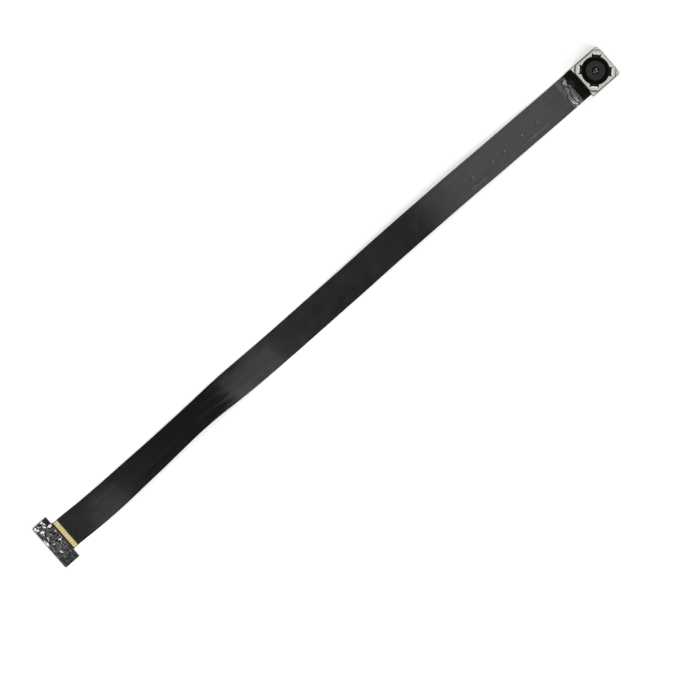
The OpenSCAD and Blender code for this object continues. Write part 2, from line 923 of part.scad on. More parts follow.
// One moulded lens element: two curved faces inside a flat mounting rim
module lens_element(i, clear_share, front_bulge, back_bulge) {
    steps = 9;
    rim_r = seat_rs[i];
    a = rim_r * clear_share;
    top = seat_top(i);
    bottom = top - seat_ts[i];
    front = [for (k = [0 : steps]) [a * k / steps, top + front_bulge - sag(a * k / steps, a, front_bulge)]];
    back = [
        for (k = [steps : -1 : 0])
            [a * k / steps, bottom - back_bulge + sag(a * k / steps, a, back_bulge)]
    ];
    color([0.75, 0.85, 0.9, 0.4])
        rotate_extrude()
            polygon(concat(front, [[rim_r, top], [rim_r, bottom]], back));
}

// Opaque ring between two elements
module baffle(i) {
    outer = min(seat_rs[i], seat_rs[i + 1]);
    color([0.03, 0.03, 0.03])
        translate([0, 0, seat_top(i) - seat_ts[i] - baffle_t])
            difference() {
                cylinder(r = outer, h = baffle_t);
                translate([0, 0, -over])
                    cylinder(r = outer * (1 - baffle_w_shares[i]), h = baffle_t + 2 * over);
            }
}

// Ring pressed in behind the last element
module lens_retainer() {
    z = seat_top(3) - seat_ts[3] - retainer_t;
    color([0.05, 0.05, 0.05])
        translate([0, 0, z])
            difference() {
                cylinder(r = seat_rs[3], h = retainer_t);
                translate([0, 0, -over])
                    cylinder(r = seat_rs[3] * 0.86, h = retainer_t + 2 * over);
            }
}

// Three drops of adhesive between the barrel's side and the spring ring on the hub
module lens_glue() {
    body_r = thread_r - thread_gap;
    color([0.35, 0.33, 0.28])
        for (k = [0, 2, 3])
            rotate([0, 0, 90 * k + 45])
                translate([body_r + glue_out, 0, magnet_top + leaf_t])
                    difference() {
                        sphere(glue_r);
                        translate([-glue_r - over, -glue_r - over, -glue_r - over])
                            cube([2 * (glue_r + over), 2 * (glue_r + over), glue_r + over]);
                        translate([-body_r - glue_out, 0, -over])
                            cylinder(r = body_r, h = glue_r + 2 * over);
                    }
}

// A gentle repeatable ripple between -1 and 1, for poured and crumpled surfaces
function ripple(x, y) =
    (sin(311 * x + 143 * y) + sin(197 * y - 89 * x + 40) + sin(401 * x - 223 * y + 75)) / 3;

// Potting beside the head, lumpy over the parts that it covers
module neck_resin() {
    nx = 10;
    ny = 24;
    x0 = can_half;
    x1 = neck_x - resin_edge;
    y0 = neck_y - tail_w / 2 + resin_edge;
    y1 = neck_y + tail_w / 2 - resin_edge;
    heights = [
        for (i = [0 : nx])
            [
                for (j = [0 : ny])
                    let (
                        u = i / nx,
                        v = j / ny,
                        slope = 1 - 0.35 * pow(u, 3),
                        ends = 1 - 0.5 * pow(abs(2 * v - 1), 16),
                        climb = resin_climb * pow(1 - u, 8) * ends
                    )
                    climb
                    + resin_h * slope * ends * (1 + 0.3 * (1 - u) * (1 - u))
                    + resin_lump * ripple(resin_waves[0] * u, resin_waves[1] * v) * (1 - pow(abs(2 * v - 1), 6))
                    - resin_dip * exp(-pow((u - 0.7) / 0.2, 2) - pow((v - 0.36) / 0.07, 2))
            ]
    ];
    color([0.13, 0.12, 0.09])
        difference() {
            height_field(x0, x1, y0, y1, deck_z, heights);
            for (side = [-1, 1]) {
                terminal(side);
                solder_joint(side);
            }
            for (i = [0 : 3])
                translate(capacitor_at(i))
                    translate([-capacitor_size[0] / 2, -capacitor_size[1] / 2, -over])
                        cube([capacitor_size[0], capacitor_size[1], capacitor_size[2] + over]);
            translate(chip_at())
                translate([0, 0, -over])
                    cube([chip_size[0], chip_size[1], chip_size[2] + over]);
        }
}

// Glossy adhesive bead over the edge of the rigid board, crumpled in two folds
module neck_bead() {
    nx = 16;
    ny = 26;
    y0 = neck_y - tail_w / 2 + bead_edge;
    y1 = neck_y + tail_w / 2 - bead_edge;
    heights = [
        for (i = [0 : nx])
            [
                for (j = [0 : ny])
                    let (
                        u = i / nx,
                        v = j / ny,
                        near = exp(-pow((u - 0.16 - 0.05 * sin(500 * v)) / 0.13, 2)),
                        far = exp(-pow((u - 0.62 - 0.14 * v + 0.06 * sin(430 * v + 60)) / 0.12, 2)),
                        lump = ripple(4 * u, 7 * v)
                    )
                    bead_edge
                    + (1 - u * u) * (bead_h * near * (1.1 - 0.35 * v) + bead_lump * 1.2 * far * (0.25 + 0.9 * v))
                    + bead_lump * 0.5 * (1 + lump) * sin(180 * u)
            ]
    ];
    color([0.16, 0.16, 0.16])
        height_field(neck_x, neck_x + bead_length, y0, y1, stiffener_t + 2 * film_t + core_t, heights);
}

// Gold traces in the bare strip, in close pairs as signal lines run
module exposed_traces() {
    color([0.9, 0.8, 0.5])
        for (i = [0 : contact_count - 1]) {
            pair = floor(i / 2) - (contact_count - 2) / 4;
            shift = (i % 2 - 0.5) * (trace_w + trace_gap);
            translate([tail_end, 2 * pair * trace_pitch + shift - trace_w / 2, film_t + core_t])
                cube([window_length, trace_w, trace_t]);
        }
}

// Black stiffener on top of the tongue
module tongue_stiffener() {
    color([0.08, 0.08, 0.08])
        translate([0, 0, film_t + core_t])
            linear_extrude(tongue_t)
                tongue_outline(0);
}

// Crinkled glossy tape on the stiffener
module end_tape() {
    nx = 14;
    ny = 36;
    heights = [
        for (i = [0 : nx])
            [
                for (j = [0 : ny])
                    tape_t + tape_crinkle / 2 * (1 + ripple(tape_waves[0] * i / nx, tape_waves[1] * j / ny))
            ]
    ];
    half = tongue_w / 2 - tape_margin;
    color([0.18, 0.18, 0.19])
        intersection() {
            height_field(
                tongue_x + tape_margin, tongue_x + tongue_length - tape_margin,
                -half, half, film_t + core_t + tongue_t, heights
            );
            translate([0, 0, film_t + core_t])
                linear_extrude(tongue_t + 2 * tape_t + 2 * tape_crinkle)
                    tongue_outline(tape_margin);
        }
}

// Gold contact fingers on the underside of the tongue
module contact_fingers() {
    far = tongue_x + tongue_length;
    color([0.85, 0.68, 0.3])
        for (i = [0 : contact_count - 1])
            translate([far - contact_length, (i - (contact_count - 1) / 2) * contact_pitch - contact_w / 2, 0])
                cube([contact_length - tongue_corner / 2, contact_w, film_t]);
}

back_stiffener();
flex_core();
bottom_film();
top_film();
head_board();
image_sensor();
bond_wires();
driver_chip();
capacitor(0);  // capacitor_1
capacitor(1);  // capacitor_2
capacitor(2);  // capacitor_3
capacitor(3);  // capacitor_4
filter_holder();
ir_filter();
vcm_base();
terminal(-1);  // terminal_1
terminal(1);  // terminal_2
solder_joint(-1);  // solder_joint_1
solder_joint(1);  // solder_joint_2
lower_spring(-1);  // lower_spring_left
lower_spring(1);  // lower_spring_right
lens_carrier();
coil();
magnet(0);  // magnet_1
magnet(1);  // magnet_2
magnet(2);  // magnet_3
magnet(3);  // magnet_4
upper_spring();
spring_spacer();
shield_can();
lens_barrel();
lens_element(0, 0.57, 0.24, -0.1);  // lens_1
lens_element(1, 0.75, -0.08, -0.12);  // lens_2
lens_element(2, 0.75, -0.2, 0.12);  // lens_3
lens_element(3, 0.8, -0.15, 0.1);  // lens_4
baffle(0);  // baffle_1
baffle(1);  // baffle_2
baffle(2);  // baffle_3
lens_retainer();
lens_glue();
neck_resin();
neck_bead();
exposed_traces();
tongue_stiffener();
end_tape();
contact_fingers();
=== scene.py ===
import bpy
import bmesh
import json
import math
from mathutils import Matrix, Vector, noise


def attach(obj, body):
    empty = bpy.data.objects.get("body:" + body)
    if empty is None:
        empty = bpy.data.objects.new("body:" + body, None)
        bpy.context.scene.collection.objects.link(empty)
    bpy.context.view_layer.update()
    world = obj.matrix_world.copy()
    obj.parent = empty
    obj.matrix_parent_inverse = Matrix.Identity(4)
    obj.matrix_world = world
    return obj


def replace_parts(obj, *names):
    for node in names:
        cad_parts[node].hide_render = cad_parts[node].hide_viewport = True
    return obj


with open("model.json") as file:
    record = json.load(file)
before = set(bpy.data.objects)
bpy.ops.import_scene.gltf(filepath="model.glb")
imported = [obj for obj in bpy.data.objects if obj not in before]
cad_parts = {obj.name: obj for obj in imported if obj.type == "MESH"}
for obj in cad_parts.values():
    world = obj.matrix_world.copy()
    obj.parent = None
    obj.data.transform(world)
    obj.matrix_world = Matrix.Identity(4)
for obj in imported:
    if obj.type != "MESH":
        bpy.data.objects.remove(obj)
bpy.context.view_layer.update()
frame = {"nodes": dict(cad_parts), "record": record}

# Sizes, in metres
MM = 0.001
SHOT_WIDTH = 169.5 * MM
SHOT_CENTRE = (88.9 * MM, 11.8 * MM)
CAMERA_HEIGHT = 1.2
PART_MIDDLE = (0.09, 0, 0)

# The way that the tail runs from the head in the photograph, to the right and up
TAIL_IN_PHOTO = (-0.753, -0.658)

TAIL_WIDTH = 8 * MM
FILM = 0.05 * MM
CORE = 0.1 * MM
NECK_X = 6.5 * MM
NECK_Y = -0.3 * MM
BOARD_TOP = 0.6 * MM
TAIL_TOP = 0.4 * MM
STRIP_START = 169.2 * MM
TONGUE_X = 171 * MM
TONGUE_LENGTH = 4.4 * MM
TONGUE_WIDTH = 12.5 * MM
TONGUE_TOP = 0.35 * MM
TAPE_MARGIN = 0.06 * MM

# The poured pieces at the neck: where they start and end along the tail, and half their width
BEAD_START, BEAD_END, BEAD_HALF = NECK_X - 0.1 * MM, NECK_X + 2.9 * MM, 3.97 * MM
POTTING_START, POTTING_END, POTTING_HALF = 4.25 * MM, 6.4 * MM, 3.9 * MM

# Flux browns both long edges of the bare strip: where it begins to show, and where it is full
FLUX_BY_FILM = (STRIP_START + 0.36 * MM, STRIP_START + 0.26 * MM)
FLUX_BY_TONGUE = (TONGUE_X - 0.4 * MM, TONGUE_X - 0.3 * MM)
FLUX_BROWN = (0.016, 0.010, 0.002)

# Round pads that show through the tail's upper film, along and across, in millimetres
PADS = [(39.4, -0.1), (33.3, 0.3), (29.5, 0.35), (23.8, 0.2), (18.8, 0.25)]
PAD_RADIUS = 0.42 * MM
PAD_SLOPE = 0.06 * MM
PAD_LIFT = 0.02 * MM

# Share of white that the paper adds for the eye, but not for the light on the object
PAPER_GLOW = 0.4

# Points that are closer than this are one point
SNAP = 1e-7

# The tail's route as the solid has it: along, sideways, underside's height, roll in degrees
ROUTE = [
    (6.5, -0.3, 0.2, 0), (9.5, -0.3, 0.2, 0), (14, -0.3, 0.32, 0), (20, -0.35, 0.75, 0),
    (27, -0.4, 1.25, 0), (34, -0.45, 1.7, 0), (41, -0.55, 2.05, 0), (48, -0.6, 2.2, 0),
    (55, -0.6, 2.1, 0), (62, -0.6, 1.75, 0), (69, -0.55, 1.3, 0), (76, -0.45, 0.85, 0),
    (83, -0.4, 0.45, 0), (90, -0.35, 0.18, 0), (97, -0.3, 0.06, 0), (104, -0.3, 0.1, 1),
    (111, -0.35, 0.5, 5), (117, -0.45, 1.05, 13), (123, -0.5, 1.9, 24), (129, -0.4, 2.25, 28),
    (135, -0.2, 2.1, 26), (141, 0, 1.75, 22), (148, 0.15, 1.25, 16), (155, 0.3, 0.68, 8),
    (162, 0.25, 0.17, 1.5), (169.2, 0, 0, 0),
]


def route_at(place):
    """The route's point at a place counted in spans from the neck."""
    if place < 1:
        a, b = ROUTE[0], ROUTE[1]
        return [p + (q - p) * place for p, q in zip(a, b)]
    last = len(ROUTE) - 1
    i = min(int(place), last - 1)
    u = place - i
    b, c = ROUTE[i], ROUTE[i + 1]
    a = ROUTE[i - 1] if i > 1 else (2 * b[0] - c[0], b[1], b[2], b[3])
    d = ROUTE[i + 2] if i + 2 <= last else (2 * c[0] - b[0], c[1], c[2], c[3])
    return [
        q + u * (r - p) / 2 + u * u * (2 * p - 5 * q + 4 * r - s) / 2
        + u ** 3 * (3 * q - 3 * r + s - p) / 2
        for p, q, r, s in zip(a, b, c, d)
    ]


def tail_point(place, across, lift):
    """A point of the tail: across is in metres from its middle, lift above its underside."""
    last = len(ROUTE) - 1
    p = route_at(place)
    before, after = route_at(max(place - 0.01, 0)), route_at(min(place + 0.01, last))
    way = Vector([q - r for q, r in zip(after[:3], before[:3])]).normalized()
    if place <= 1 or place >= last:
        way = Vector((1, 0, 0))
    side = Vector((0, 0, 1)).cross(way).normalized()
    rise = way.cross(side)
    roll = math.radians(p[3])
    over = side * math.cos(roll) + rise * math.sin(roll)
    up = way.cross(over)
    return Vector(p[:3]) * MM + over * across + up * lift


def place_camera():
    """A camera straight above, turned so that the tail runs as in the photograph."""
    data = bpy.data.cameras.new("camera")
    data.sensor_width = 36
    data.lens = 36 * CAMERA_HEIGHT / SHOT_WIDTH
    data.clip_start, data.clip_end = 0.01, 20
    camera = bpy.data.objects.new("camera", data)
    bpy.context.collection.objects.link(camera)
    angle = math.atan2(-TAIL_IN_PHOTO[1], TAIL_IN_PHOTO[0])
    camera.location = (SHOT_CENTRE[0], SHOT_CENTRE[1], CAMERA_HEIGHT)
    camera.rotation_euler = (0, 0, angle)
    bpy.context.scene.camera = camera


place_camera()


class Finish:
    """One material: a shader whose constant values sit on its own sockets, and its texture nodes."""

    def __init__(self, name, colour, rough, metal=0.0, specular=0.5):
        self.material = bpy.data.materials.new(name)
        self.material.use_nodes = True
        self.tree = self.material.node_tree
        self.shader = self.tree.nodes["Principled BSDF"]
        self.set("Base Color", (*colour, 1))
        self.set("Roughness", rough)
        self.set("Metallic", metal)
        self.set("Specular IOR Level", specular)
        self.coords = self.node("ShaderNodeTexCoord").outputs["Object"]
        self.height = None

    def set(self, socket, value):
        self.shader.inputs[socket].default_value = value

    def node(self, kind, links=(), **values):
        """A new node, with its links and its settings or socket values."""
        added = self.tree.nodes.new(kind)
        for key, value in values.items():
            if hasattr(added, key):
                setattr(added, key, value)
            else:
                added.inputs[key.replace("_", " ")].default_value = value
        for socket, source in links:
            self.tree.links.new(source, added.inputs[socket])
        return added

    def use_uv(self):
        """From here on patterns follow the piece's own UV map."""
        self.coords = self.node("ShaderNodeTexCoord").outputs["UV"]

    def stretched(self, scale, turn=0.0):
        """Coordinates scaled along each axis and turned about Z."""
        return self.node(
            "ShaderNodeMapping", [("Vector", self.coords)], Scale=scale, Rotation=(0, 0, turn)
        ).outputs["Vector"]

    def cloud(self, scale, detail=4.0, rough=0.55, warp=0.0, vector=None):
        """Soft noise; the scale counts its lumps in a metre."""
        return self.node(
            "ShaderNodeTexNoise", [("Vector", vector or self.coords)],
            Scale=scale, Detail=detail, Roughness=rough, Distortion=warp,
        ).outputs["Fac"]

    def cells(self, scale):
        """The distance from the middle of the nearest cell; the scale counts cells in a metre."""
        texture = self.node("ShaderNodeTexVoronoi", [("Vector", self.coords)], Scale=scale)
        return texture.outputs["Distance"]

    def between(self, source, low, high, out_low=0.0, out_high=1.0):
        """A value that runs from one number to another while the source runs from low to high."""
        return self.node(
            "ShaderNodeMapRange", [("Value", source)],
            **{"From_Min": low, "From_Max": high, "To_Min": out_low, "To_Max": out_high},
        ).outputs["Result"]

    def joined(self, how, one, two):
        return self.node("ShaderNodeMath", [(0, one), (1, two)], operation=how).outputs[0]

    def product(self, one, two):
        return self.joined("MULTIPLY", one, two)

    def along(self, axis):
        """The place along one axis, in metres."""
        return self.node("ShaderNodeSeparateXYZ", [("Vector", self.coords)]).outputs[axis]

    def along_diagonal(self):
        """How far out a point is along the nearest diagonal, how far beside it, and along an axis."""
        size = self.node("ShaderNodeVectorMath", [(0, self.coords)], operation="ABSOLUTE")
        split = self.node("ShaderNodeSeparateXYZ", [("Vector", size.outputs["Vector"])])
        x, y = split.outputs["X"], split.outputs["Y"]
        apart = self.node("ShaderNodeMath", [(0, self.joined("SUBTRACT", x, y))], operation="ABSOLUTE")
        turn = math.sqrt(0.5)
        outwards = self.times(self.joined("ADD", x, y), turn)
        return outwards, self.times(apart.outputs[0], turn), self.joined("MAXIMUM", x, y)

    def times(self, value, number):
        scaled = self.node("ShaderNodeMath", [(0, value)], operation="MULTIPLY")
        scaled.inputs[1].default_value = number
        return scaled.outputs[0]

    def facing_up(self):
        """1 where the surface faces up, 0 where it stands upright."""
        normal = self.node("ShaderNodeNewGeometry").outputs["Normal"]
        return self.node("ShaderNodeSeparateXYZ", [("Vector", normal)]).outputs["Z"]

    def away_from(self, spot=(0.0, 0.0)):
        """The distance from an upright axis, in metres."""
        flat = self.node("ShaderNodeVectorMath", [(0, self.coords)], operation="MULTIPLY")
        flat.inputs[1].default_value = (1, 1, 0)
        away = self.node("ShaderNodeVectorMath", [(0, flat.outputs[0])], operation="DISTANCE")
        away.inputs[1].default_value = (*spot, 0)
        return away.outputs["Value"]

    def tint(self, share, colour):
        """Mixes a colour over the base colour by a share."""
        base = self.shader.inputs["Base Color"]
        mix = self.node("ShaderNodeMix", data_type="RGBA")
        self.tree.links.new(share, mix.inputs[0])
        if base.is_linked:
            self.tree.links.new(base.links[0].from_socket, mix.inputs[6])
        else:
            mix.inputs[6].default_value = base.default_value
        mix.inputs[7].default_value = (*colour, 1)
        self.tree.links.new(mix.outputs[2], base)

    def shine(self, share, low, high):
        """Roughness runs from low to high with the share."""
        self.tree.links.new(self.between(share, 0.3, 0.7, low, high), self.shader.inputs["Roughness"])

    def bump(self, height, depth, strength=1.0):
        """Adds a height in metres on top of the bumps before it."""
        links = [("Height", height)]
        if self.height:
            links.append(("Normal", self.height))
        added = self.node("ShaderNodeBump", links, Strength=strength, Distance=depth)
        self.height = added.outputs["Normal"]
        self.tree.links.new(self.height, self.shader.inputs["Normal"])


def stamped_nickel():
    """Satin nickel of the can, with painted shade along its drawn edges, on its outer margins and on the
    diagonal lines at its chamfered corners, and a painted highlight where its four tabs bend down.
    """
    # Each mark of painted shade or painted highlight fades from its first place to its second
    margin_from, margin_to = (3.97 * MM, 4.1 * MM), (5.05 * MM, 4.98 * MM)
    step_from, step_to = (4.82 * MM, 4.9 * MM), (5.16 * MM, 5.06 * MM)
    tab_root, tab_side = (4.25 * MM, 4.15 * MM), (0.9 * MM, 0.84 * MM)
    f = Finish("stamped_nickel", (0.66, 0.645, 0.585), 0.24, 1.0)
    mottle = f.cloud(900, 3, 0.5)
    f.tint(f.between(mottle, 0.35, 0.75, 0.0, 0.35), (0.56, 0.545, 0.48))
    steep = f.facing_up()
    # Painted shade: the rounded edges between the flat top and the upright walls are darkened
    edge = f.product(f.between(steep, 0.985, 0.9), f.between(steep, 0.1, 0.25))
    f.tint(f.product(edge, f.between(mottle, 0.2, 0.6, 0.75, 1.0)), (0.13, 0.125, 0.11))
    diagonal, across, side = f.along_diagonal()
    flat = f.between(steep, 0.2, 0.5)
    # Painted shade along the top plate's outer margins
    painted_shade_margin = f.product(f.between(side, *margin_from, 0.0, 0.8), f.between(diagonal, *margin_to))
    f.tint(f.product(painted_shade_margin, flat), (0.15, 0.145, 0.13))
    # Painted shade on the diagonal lines at the chamfered corners
    painted_shade_step = f.product(f.between(diagonal, *step_from), f.between(diagonal, *step_to, 0.0, 0.85))
    f.tint(f.product(painted_shade_step, flat), (0.11, 0.105, 0.095))
    # Painted highlight where the four tabs bend down
    painted_highlight_bend = f.product(f.between(diagonal, *tab_root), f.between(across, *tab_side))
    f.tint(painted_highlight_bend, (0.86, 0.85, 0.81))
    grain = f.cloud(1, 3, 0.6, vector=f.stretched((900, 14000, 900), 0.3))
    f.shine(f.cloud(2600, 4, 0.6), 0.19, 0.28)
    f.bump(grain, 0.000003, 0.25)
    f.bump(f.cloud(5200, 3, 0.6), 0.000005, 0.3)
    return f.material


def plate_steel():
    """Brushed steel plate under the head."""
    f = Finish("plate_steel", (0.52, 0.515, 0.50), 0.38, 1.0)
    grain = f.cloud(1, 3, 0.6, vector=f.stretched((300, 9000, 900)))
    f.tint(f.between(grain, 0.3, 0.7, 0.0, 0.3), (0.40, 0.39, 0.37))
    f.shine(f.cloud(1500, 4), 0.3, 0.46)
    f.bump(grain, 0.000004, 0.4)
    return f.material


def satin_film():
    """Black film under the tail."""
    f = Finish("satin_film", (0.012, 0.012, 0.0125), 0.27)
    f.tint(f.between(f.cloud(700, 4), 0.35, 0.7, 0.0, 0.5), (0.020, 0.0195, 0.019))
    f.shine(f.cloud(450, 4, 0.6, 0.4), 0.23, 0.33)
    f.bump(f.cloud(6000, 4, 0.6), 0.000004, 0.25)
    return f.material


def traced_film():
    """The tail's upper film: long ridges over the traces below it, read from its own UV map."""
    f = Finish("traced_film", (0.0055, 0.0055, 0.0052), 0.16, specular=0.85)
    # Random lighter patches
    lighter_patches = f.cloud(420, 5, 0.6, 0.5)
    f.tint(f.between(lighter_patches, 0.45, 0.75, 0.0, 0.5), (0.012, 0.0118, 0.0108))
    f.shine(f.cloud(260, 4, 0.6, 0.4), 0.13, 0.2)
    skin = f.cloud(5200, 4, 0.6)
    for x, y in PADS:
        away = f.away_from((x * MM, y * MM))
        f.bump(f.between(away, PAD_RADIUS + PAD_SLOPE, PAD_RADIUS - PAD_SLOPE), 0.00003, 1.0)
    f.use_uv()
    lines = f.node(
        "ShaderNodeTexWave", [("Vector", f.stretched((0.0, 1.0, 1.0)))],
        bands_direction="Y", wave_profile="SIN", Scale=4.1, Distortion=0.0, Detail=0.0,
    ).outputs["Fac"]
    groups = f.cloud(1, 3, 0.55, vector=f.stretched((0.16, 7.0, 1.0)))
    streaks = f.cloud(1, 4, 0.6, vector=f.stretched((0.9, 42.0, 1.0)))
    ridge = f.product(f.between(lines, 0.25, 0.75), f.between(groups, 0.42, 0.58))
    f.tint(f.between(groups, 0.56, 0.72, 0.0, 0.45), (0.0025, 0.0025, 0.0028))
    scuffs = f.product(f.between(streaks, 0.56, 0.74), f.between(groups, 0.35, 0.5, 0.7, 0.1))
    f.tint(scuffs, (0.018, 0.0178, 0.016))
    last = len(ROUTE) - 1
    brown_from, brown_full = last - 0.06, last - 0.04
    f.tint(f.between(f.along("X"), brown_from, brown_full), (0.012, 0.008, 0.002))
    f.bump(ridge, 0.00003, 0.9)
    f.bump(streaks, 0.00002, 0.5)
    f.bump(skin, 0.000008, 0.3)
    return f.material


def amber_sheet():
    """Amber film: dark with flux at the bare strip's edges, paler between its traces."""
    f = Finish("amber_sheet", (0.20, 0.085, 0.018), 0.3)
    f.tint(f.between(f.cloud(1100, 4), 0.35, 0.7), (0.12, 0.052, 0.014))
    place = f.along("X")
    f.tint(f.between(place, STRIP_START - 0.1 * MM, STRIP_START), (0.028, 0.017, 0.004))
    bare = f.product(
        f.between(place, *reversed(FLUX_BY_FILM)), f.between(place, *reversed(FLUX_BY_TONGUE))
    )
    f.tint(bare, (0.36, 0.24, 0.07))
    f.shine(f.cloud(2000, 3), 0.3, 0.45)
    f.bump(f.cloud(3500, 3), 0.000004, 0.4)
    return f.material


def board_mask():
    """Dark solder mask of the rigid board."""
    f = Finish("board_mask", (0.035, 0.033, 0.022), 0.4)
    f.tint(f.between(f.cells(3000), 0.05, 0.3, 0.4, 0.0), (0.055, 0.05, 0.032))
    f.bump(f.cloud(4500, 3), 0.000004, 0.4)
    return f.material


def moulded_black(name, colour=(0.014, 0.014, 0.0145), low=0.42, high=0.6, grain=5200, specular=0.4):
    """Black moulding with a fine spark-eroded grain: low and high are its roughness."""
    def build():
        f = Finish(name, colour, (low + high) / 2, specular=specular)
        f.tint(f.between(f.cloud(900, 4), 0.4, 0.7, 0.0, 0.6), tuple(c * 1.7 for c in colour))
        f.shine(f.cloud(1500, 4), low, high)
        f.bump(f.cells(grain), 0.000004, 0.5)
        return f.material
    return build


def barrel_black():
    """Matte lens barrel, turned in fine rings about the optical axis, blacker outside its nose."""
    nose_edge, opening_edge = (2.36 * MM, 2.42 * MM), (0.95 * MM, 0.8 * MM)
    f = Finish("barrel_black", (0.025, 0.025, 0.024), 0.4, specular=0.05)
    radius = f.away_from()
    turned = f.node(
        "ShaderNodeTexWave", [("Vector", f.coords)], wave_type="RINGS", rings_direction="Z",
        Scale=1500.0, Distortion=0.3, Detail=2.0,
    ).outputs["Fac"]
    f.tint(f.between(turned, 0.2, 0.9, 0.0, 0.7), (0.042, 0.0415, 0.039))
    f.tint(f.between(radius, *nose_edge), (0.0022, 0.002, 0.0018))
    f.tint(f.between(radius, *opening_edge), (0.002, 0.002, 0.002))
    f.shine(f.cloud(1800, 4), 0.36, 0.5)
    f.bump(turned, 0.000006, 0.6)
    f.bump(f.cloud(9000, 3), 0.000003, 0.4)
    return f.material


def pale_gold():
    """Plated gold of contacts and terminals."""
    f = Finish("pale_gold", (0.83, 0.66, 0.33), 0.3, 1.0)
    f.tint(f.between(f.cloud(2400, 4), 0.35, 0.75, 0.0, 0.6), (0.70, 0.50, 0.20))
    f.shine(f.cloud(4000, 4), 0.24, 0.42)
    f.bump(f.cloud(9000, 3), 0.000003, 0.5)
    return f.material


def spring_bronze_painted_shade():
    """Leaf springs of bronze, darkened to near black as painted shade under the can's top plate."""
    # Painted shade: the near black base colour stands in for the shade under the top plate
    f = Finish("spring_bronze_painted_shade", (0.022, 0.019, 0.014), 0.34, 1.0)
    f.tint(f.between(f.cloud(1800, 4), 0.45, 0.65, 0.0, 0.7), (0.075, 0.062, 0.045))
    f.shine(f.cloud(3000, 3), 0.24, 0.4)
    f.bump(f.cloud(1, 3, vector=f.stretched((800, 12000, 800))), 0.000002, 0.4)
    return f.material


def enamelled_copper():
    """Coil wire, wound in fine turns stacked along the optical axis."""
    f = Finish("enamelled_copper", (0.52, 0.20, 0.07), 0.24, 1.0)
    turns = f.node(
        "ShaderNodeTexWave", [("Vector", f.coords)], bands_direction="Z", Scale=2400.0, Distortion=0.2,
    ).outputs["Fac"]
    f.tint(f.between(turns, 0.0, 0.45, 0.8, 0.0), (0.16, 0.05, 0.015))
    f.set("Coat Weight", 0.5)
    f.bump(turns, 0.00001, 0.8)
    return f.material


def nickel_plated():
    """Plated magnets."""
    f = Finish("nickel_plated", (0.45, 0.45, 0.46), 0.2, 1.0)
    f.tint(f.between(f.cloud(1500, 4), 0.4, 0.7, 0.0, 0.5), (0.33, 0.33, 0.34))
    f.shine(f.cloud(2500, 4), 0.14, 0.3)
    f.bump(f.cloud(6000, 3), 0.000003, 0.5)
    return f.material


def fired_ceramic():
    """Brown chip capacitors."""
    f = Finish("fired_ceramic", (0.20, 0.125, 0.075), 0.42)
    f.tint(f.between(f.cloud(5000, 4), 0.35, 0.7, 0.0, 0.5), (0.13, 0.08, 0.05))
    f.bump(f.cloud(12000, 3), 0.000003, 0.6)
    return f.material


def polished_silicon():
    """Image sensor with its fine field of pixels."""
    f = Finish("polished_silicon", (0.05, 0.075, 0.14), 0.12, 0.6)
    pixels = f.cells(9000)
    f.tint(f.between(pixels, 0.1, 0.5), (0.09, 0.14, 0.10))
    f.shine(f.cloud(800, 2), 0.08, 0.2)
    f.set("Coat Weight", 0.4)
    return f.material


def tinned_solder():
    """Solder joints, a little lumpy."""
    f = Finish("tinned_solder", (0.52, 0.52, 0.53), 0.24, 1.0)
    f.shine(f.cloud(6000, 4), 0.16, 0.4)
    f.bump(f.cloud(7000, 4), 0.000008, 0.6)
    return f.material


def coated_glass(name, colour, tint):
    """Clear glass or resin whose coating shows its own tint towards the rim."""
    def build():
        f = Finish(name, colour, 0.05, 0.0, 0.5)
        f.set("Transmission Weight", 0.85)
        f.set("IOR", 1.52)
        f.set("Coat Weight", 0.35)
        f.set("Coat Roughness", 0.05)
        rim = f.node("ShaderNodeLayerWeight", Blend=0.35).outputs["Facing"]
        f.tint(f.between(rim, 0.1, 0.8, 0.0, 0.7), tint)
        f.bump(f.cloud(500, 2), 0.0000005, 0.3)
        return f.material
    return build


def front_glass():
    """Coated front element: dark inside, with a faint violet rim."""
    f = Finish("front_glass", (0.008, 0.008, 0.009), 0.3)
    f.set("IOR", 1.62)
    rim = f.node("ShaderNodeLayerWeight", Blend=0.35).outputs["Facing"]
    f.tint(f.between(rim, 0.2, 0.7, 0.0, 0.8), (0.004, 0.003, 0.006))
    f.bump(f.cloud(500, 2), 0.0000005, 0.3)
    return f.material


def cured_potting():
    """Matte potting, dull olive brown, with a paler patch, dust and pits."""
    f = Finish("cured_potting", (0.0055, 0.0052, 0.0022), 0.6, specular=0.08)
    f.tint(f.between(f.cloud(1300, 5, 0.65, 0.8), 0.46, 0.66), (0.013, 0.012, 0.0065))
    f.tint(f.between(f.cloud(3600, 4, 0.6), 0.5, 0.7), (0.002, 0.002, 0.001))
    centred = f.node(
        "ShaderNodeMapping", [("Vector", f.coords)],
        Location=(-6.0, 0.72, 0.0), Scale=(1000.0, 500.0, 0.0),
    ).outputs["Vector"]
    away = f.node("ShaderNodeVectorMath", [(0, centred)], operation="LENGTH").outputs["Value"]
    patch = f.product(f.between(away, 0.62, 0.25), f.between(f.cloud(2600, 4), 0.35, 0.6))
    f.tint(patch, (0.055, 0.042, 0.038))
    f.shine(f.cloud(2000, 4), 0.45, 0.75)
    f.bump(f.cloud(2400, 6, 0.65), 0.00008, 0.8)
    f.bump(f.cells(6500), 0.00002, 0.5)
    return f.material


